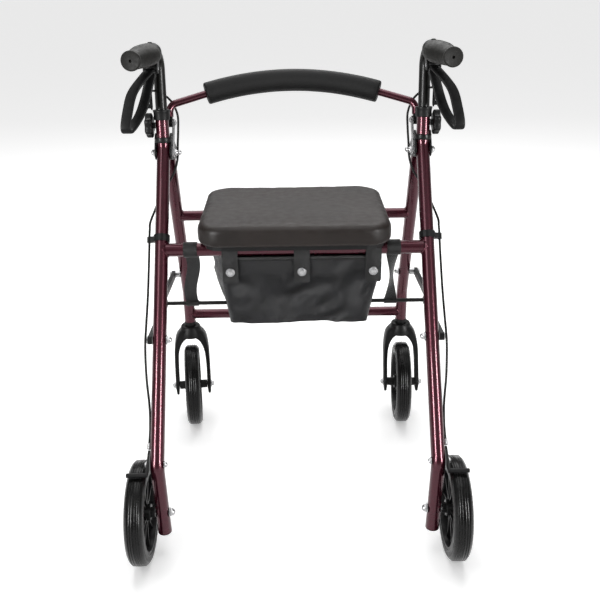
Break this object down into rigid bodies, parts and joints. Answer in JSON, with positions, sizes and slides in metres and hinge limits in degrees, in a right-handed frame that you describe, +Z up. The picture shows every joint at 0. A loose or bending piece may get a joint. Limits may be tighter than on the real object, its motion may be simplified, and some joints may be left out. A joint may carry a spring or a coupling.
{
  "type": "rollator walker",
  "caption": "Folding rollator walker with a padded seat, curved padded backrest, loop brakes, storage pouch, fixed rear wheels and swivelling front casters.",
  "frame": {"origin": "on the floor under the middle of the walker", "axes": "+X to the user's right, +Y the way the user walks, +Z up"},
  "size_m": [0.6214, 0.6824, 0.8965],
  "materials": {
    "burgundy_paint": "metallic gloss burgundy paint",
    "black_steel": "black satin paint",
    "zinc_steel": "bright zinc plate",
    "black_plastic": "moulded satin black",
    "grip_rubber": "moulded matt rubber",
    "foam": "closed-cell foam sleeve",
    "seat_vinyl": "black vinyl over foam",
    "black_nylon": "woven nylon",
    "tyre_rubber": "smooth ribbed rubber"
  },
  "bodies": {
    "rear_frame": {"rear_leg_l": "burgundy_paint", "rear_leg_r": "burgundy_paint", "hinge_bracket_l": "black_steel", "hinge_bracket_r": "black_steel", "hinge_bolt_l": "zinc_steel", "hinge_bolt_r": "zinc_steel", "fold_bolt_l": "zinc_steel", "fold_bolt_r": "zinc_steel", "backrest_bar_l": "zinc_steel", "backrest_bar_r": "zinc_steel", "stem_collar_l": "black_plastic", "stem_collar_r": "black_plastic", "cable_clip_l": "black_plastic", "cable_clip_r": "black_plastic", "rear_axle_l": "zinc_steel", "rear_axle_r": "zinc_steel", "brake_cable_l": "black_plastic", "brake_cable_r": "black_plastic", "lift_strap_l": "black_nylon", "lift_strap_r": "black_nylon", "rear_seat_bar": "burgundy_paint", "pouch": "black_nylon"},
    "front_frame": {"front_leg_l": "burgundy_paint", "front_leg_r": "burgundy_paint", "front_seat_bar": "burgundy_paint", "front_lower_bar": "burgundy_paint"},
    "seat": {"seat_pad": "seat_vinyl", "seat_board": "black_steel"},
    "backrest": {"backrest_tube": "burgundy_paint", "backrest_foam": "foam"},
    "brace_rear": {"brace_rear_link_l": "black_steel", "brace_rear_link_r": "black_steel", "fold_rod": "zinc_steel"},
    "brace_front_l": {"brace_front_link_l": "black_steel"},
    "handle_l": {"handle_stem_l": "black_steel", "grip_l": "grip_rubber", "brake_housing_l": "black_plastic"},
    "brake_lever_l": {"brake_lever_l": "black_plastic"},
    "height_knob_l": {"height_knob_l": "black_plastic"},
    "brake_arm_l": {"brake_arm_l": "black_steel"},
    "rear_wheel_l": {"rear_tyre_l": "tyre_rubber", "rear_hub_l": "black_plastic"},
    "caster_l": {"caster_fork_l": "black_plastic", "caster_axle_l": "zinc_steel"},
    "caster_wheel_l": {"caster_tyre_l": "tyre_rubber", "caster_hub_l": "black_plastic"},
    "brace_front_r": {"brace_front_link_r": "black_steel"},
    "handle_r": {"handle_stem_r": "black_steel", "grip_r": "grip_rubber", "brake_housing_r": "black_plastic"},
    "brake_lever_r": {"brake_lever_r": "black_plastic"},
    "height_knob_r": {"height_knob_r": "black_plastic"},
    "brake_arm_r": {"brake_arm_r": "black_steel"},
    "rear_wheel_r": {"rear_tyre_r": "tyre_rubber", "rear_hub_r": "black_plastic"},
    "caster_r": {"caster_fork_r": "black_plastic", "caster_axle_r": "zinc_steel"},
    "caster_wheel_r": {"caster_tyre_r": "tyre_rubber", "caster_hub_r": "black_plastic"}
  },
  "joints": [
    {"name": "frame_fold", "type": "hinge", "parent": "rear_frame", "child": "front_frame", "pos_m": [0, 0.1546, 0.674], "axis": [-1, 0, 0], "range_deg": [0, 30], "deforming": ["pouch", "lift_strap_l", "lift_strap_r"]},
    {"name": "brace_rear_pivot", "type": "hinge", "parent": "rear_frame", "child": "brace_rear", "pos_m": [0, -0.119, 0.385], "axis": [1, 0, 0], "range_deg": [0, 47.8], "deforming": ["pouch", "lift_strap_l", "lift_strap_r"]},
    {"name": "seat_flip", "type": "hinge", "parent": "front_frame", "child": "seat", "pos_m": [0, 0.2151, 0.523], "axis": [-1, 0, 0], "range_deg": [0, 45]},
    {"name": "backrest_fold", "type": "hinge", "parent": "rear_frame", "child": "backrest", "pos_m": [0, 0.1301, 0.738], "axis": [-1, 0, 0], "range_deg": [0, 90], "deforming": ["brake_cable_l", "brake_cable_r"]},
    {"name": "brace_front_pivot_l", "type": "hinge", "parent": "front_frame", "child": "brace_front_l", "pos_m": [-0.2785, 0.2782, 0.365], "axis": [-1, 0, 0], "range_deg": [0, 32.3]},
    {"name": "handle_height_l", "type": "slide", "parent": "rear_frame", "child": "handle_l", "axis": [0, 0.1067, 0.9943], "range_m": [0, 0.035], "deforming": ["brake_cable_l"]},
    {"name": "height_knob_turn_l", "type": "hinge", "parent": "rear_frame", "child": "height_knob_l", "pos_m": [-0.2695, 0.1001, 0.739], "axis": [-1, 0, 0], "range_deg": [0, 360]},
    {"name": "brake_squeeze_l", "type": "hinge", "parent": "handle_l", "child": "brake_lever_l", "pos_m": [-0.2585, 0.0571, 0.85], "axis": [-1, 0, 0], "range_deg": [0, 18], "stiffness_Nm_per_rad": 1.5, "springref_deg": -6.88},
    {"name": "brake_arm_pivot_l", "type": "hinge", "parent": "rear_frame", "child": "brake_arm_l", "pos_m": [-0.2676, -0.2494, 0.2], "axis": [1, 0, 0], "range_deg": [0, 4.5]},
    {"name": "rear_wheel_spin_l", "type": "hinge", "parent": "rear_frame", "child": "rear_wheel_l", "pos_m": [-0.2878, -0.2459, 0.09525], "axis": [1, 0, 0], "continuous": true},
    {"name": "caster_swivel_l", "type": "hinge", "parent": "front_frame", "child": "caster_l", "pos_m": [-0.252, 0.3031, 0.22], "axis": [0, 0, 1], "continuous": true},
    {"name": "caster_wheel_spin_l", "type": "hinge", "parent": "caster_l", "child": "caster_wheel_l", "pos_m": [-0.24594, 0.24542, 0.09525], "axis": [0.9945, 0.1045, 0], "continuous": true},
    {"name": "brace_front_pivot_r", "type": "hinge", "parent": "front_frame", "child": "brace_front_r", "pos_m": [0.2785, 0.2782, 0.365], "axis": [-1, 0, 0], "range_deg": [0, 32.3]},
    {"name": "handle_height_r", "type": "slide", "parent": "rear_frame", "child": "handle_r", "axis": [0, 0.1067, 0.9943], "range_m": [0, 0.035], "deforming": ["brake_cable_r"]},
    {"name": "height_knob_turn_r", "type": "hinge", "parent": "rear_frame", "child": "height_knob_r", "pos_m": [0.2695, 0.1001, 0.739], "axis": [1, 0, 0], "range_deg": [0, 360]},
    {"name": "brake_squeeze_r", "type": "hinge", "parent": "handle_r", "child": "brake_lever_r", "pos_m": [0.2585, 0.0571, 0.85], "axis": [-1, 0, 0], "range_deg": [0, 18], "stiffness_Nm_per_rad": 1.5, "springref_deg": -6.88},
    {"name": "brake_arm_pivot_r", "type": "hinge", "parent": "rear_frame", "child": "brake_arm_r", "pos_m": [0.2676, -0.2494, 0.2], "axis": [1, 0, 0], "range_deg": [0, 4.5]},
    {"name": "rear_wheel_spin_r", "type": "hinge", "parent": "rear_frame", "child": "rear_wheel_r", "pos_m": [0.2878, -0.2459, 0.09525], "axis": [1, 0, 0], "continuous": true},
    {"name": "caster_swivel_r", "type": "hinge", "parent": "front_frame", "child": "caster_r", "pos_m": [0.252, 0.3031, 0.22], "axis": [0, 0, 1], "continuous": true},
    {"name": "caster_wheel_spin_r", "type": "hinge", "parent": "caster_r", "child": "caster_wheel_r", "pos_m": [0.24998, 0.24513, 0.09525], "axis": [0.9994, -0.0349, 0], "continuous": true}
  ],
  "couplings": [
    {"joint": "brace_rear_pivot", "follows": "frame_fold", "ratio": 1.5823},
    {"joint": "brace_front_pivot_l", "follows": "frame_fold", "ratio": 1.0655},
    {"joint": "brake_arm_pivot_l", "follows": "brake_squeeze_l", "ratio": 0.25},
    {"joint": "brace_front_pivot_r", "follows": "frame_fold", "ratio": 1.0655},
    {"joint": "brake_arm_pivot_r", "follows": "brake_squeeze_r", "ratio": 0.25}
  ]
}
